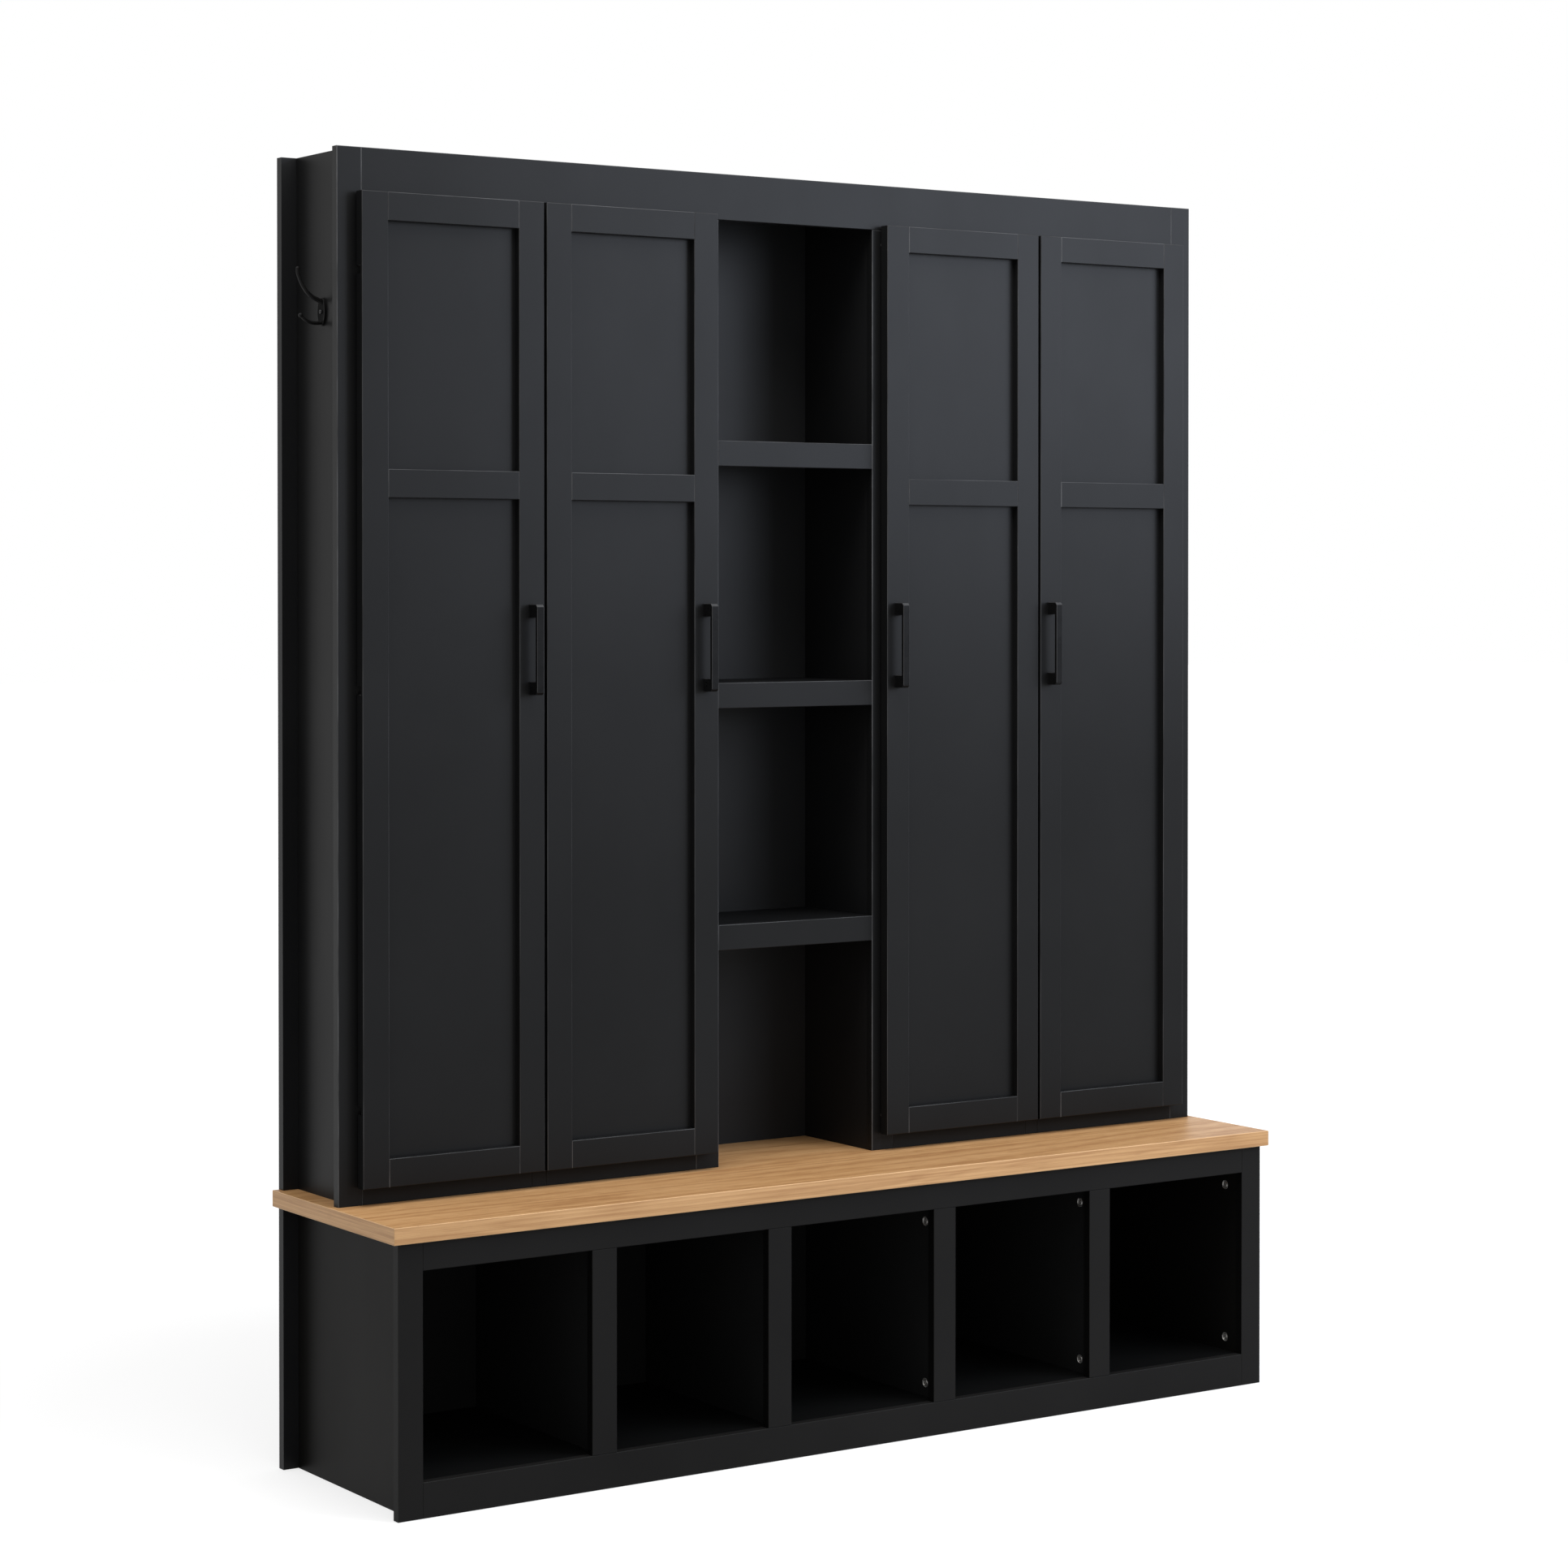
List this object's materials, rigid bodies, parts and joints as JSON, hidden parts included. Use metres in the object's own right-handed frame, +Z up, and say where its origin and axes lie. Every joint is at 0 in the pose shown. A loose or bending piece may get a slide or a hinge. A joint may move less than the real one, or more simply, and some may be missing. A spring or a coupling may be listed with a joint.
{
  "type": "hall tree",
  "caption": "Tall black hall tree: an open-cubby storage bench with an oak seat carries a shallow cabinet of panelled locker doors, open centre shelves and side coat hooks.",
  "frame": {"origin": "on the floor, at the middle of the overall width and depth", "axes": "+Z up, front faces -Y, +X to the right of someone who faces the front"},
  "size_m": [1.6586, 0.395, 1.98],
  "materials": {
    "painted_board": "satin black paint",
    "back_board": "thin black faced board",
    "oak_top": "oak veneer, clear matt lacquer",
    "black_metal": "satin black",
    "zinc": "bright zinc",
    "hinge_steel": "nickel plated",
    "pad": "soft dark pad"
  },
  "bodies": {
    "carcass": {"bench_top": "oak_top", "bench_side_left": "painted_board", "bench_side_right": "painted_board", "bench_partitions": "painted_board", "bench_floor": "painted_board", "bench_back": "back_board", "bench_stiles": "painted_board", "bench_top_rail": "painted_board", "bench_bottom_rail": "painted_board", "bench_mullions": "painted_board", "back_stiles": "painted_board", "cam_locks": "zinc", "hutch_side_left": "painted_board", "hutch_side_right": "painted_board", "hutch_top": "painted_board", "hutch_back": "back_board", "centre_partitions": "painted_board", "locker_dividers": "painted_board", "locker_floors": "painted_board", "locker_shelves": "painted_board", "locker_hook_rails": "painted_board", "shelf_pins": "zinc", "centre_shelves": "painted_board", "shelf_rails": "painted_board", "hutch_stiles": "painted_board", "hutch_top_rail": "painted_board", "centre_stiles": "painted_board", "mid_stiles": "painted_board", "hutch_bottom_rails": "painted_board", "door_bumpers": "pad", "side_hooks": "black_metal", "locker_hooks": "black_metal", "hook_screws": "black_metal", "hinge_arms": "hinge_steel", "hinge_pins": "hinge_steel", "hinge_screws": "zinc"},
    "door_1": {"door_1_stiles": "painted_board", "door_1_rails": "painted_board", "door_1_panels": "painted_board", "door_1_handle": "black_metal", "door_1_handle_screws": "zinc", "door_1_hinge_cups": "hinge_steel"},
    "door_2": {"door_2_stiles": "painted_board", "door_2_rails": "painted_board", "door_2_panels": "painted_board", "door_2_handle": "black_metal", "door_2_handle_screws": "zinc", "door_2_hinge_cups": "hinge_steel"},
    "door_3": {"door_3_stiles": "painted_board", "door_3_rails": "painted_board", "door_3_panels": "painted_board", "door_3_handle": "black_metal", "door_3_handle_screws": "zinc", "door_3_hinge_cups": "hinge_steel"},
    "door_4": {"door_4_stiles": "painted_board", "door_4_rails": "painted_board", "door_4_panels": "painted_board", "door_4_handle": "black_metal", "door_4_handle_screws": "zinc", "door_4_hinge_cups": "hinge_steel"}
  },
  "joints": [
    {"name": "door_1_swing", "type": "hinge", "parent": "carcass", "child": "door_1", "pos_m": [-0.774, -0.0155, 1.182], "axis": [0, 0, -1], "range_deg": [0, 100]},
    {"name": "door_2_swing", "type": "hinge", "parent": "carcass", "child": "door_2", "pos_m": [-0.4625, -0.0155, 1.182], "axis": [0, 0, -1], "range_deg": [0, 100]},
    {"name": "door_3_swing", "type": "hinge", "parent": "carcass", "child": "door_3", "pos_m": [0.4625, -0.0155, 1.182], "axis": [0, 0, 1], "range_deg": [0, 100]},
    {"name": "door_4_swing", "type": "hinge", "parent": "carcass", "child": "door_4", "pos_m": [0.774, -0.0155, 1.182], "axis": [0, 0, 1], "range_deg": [0, 100]}
  ]
}
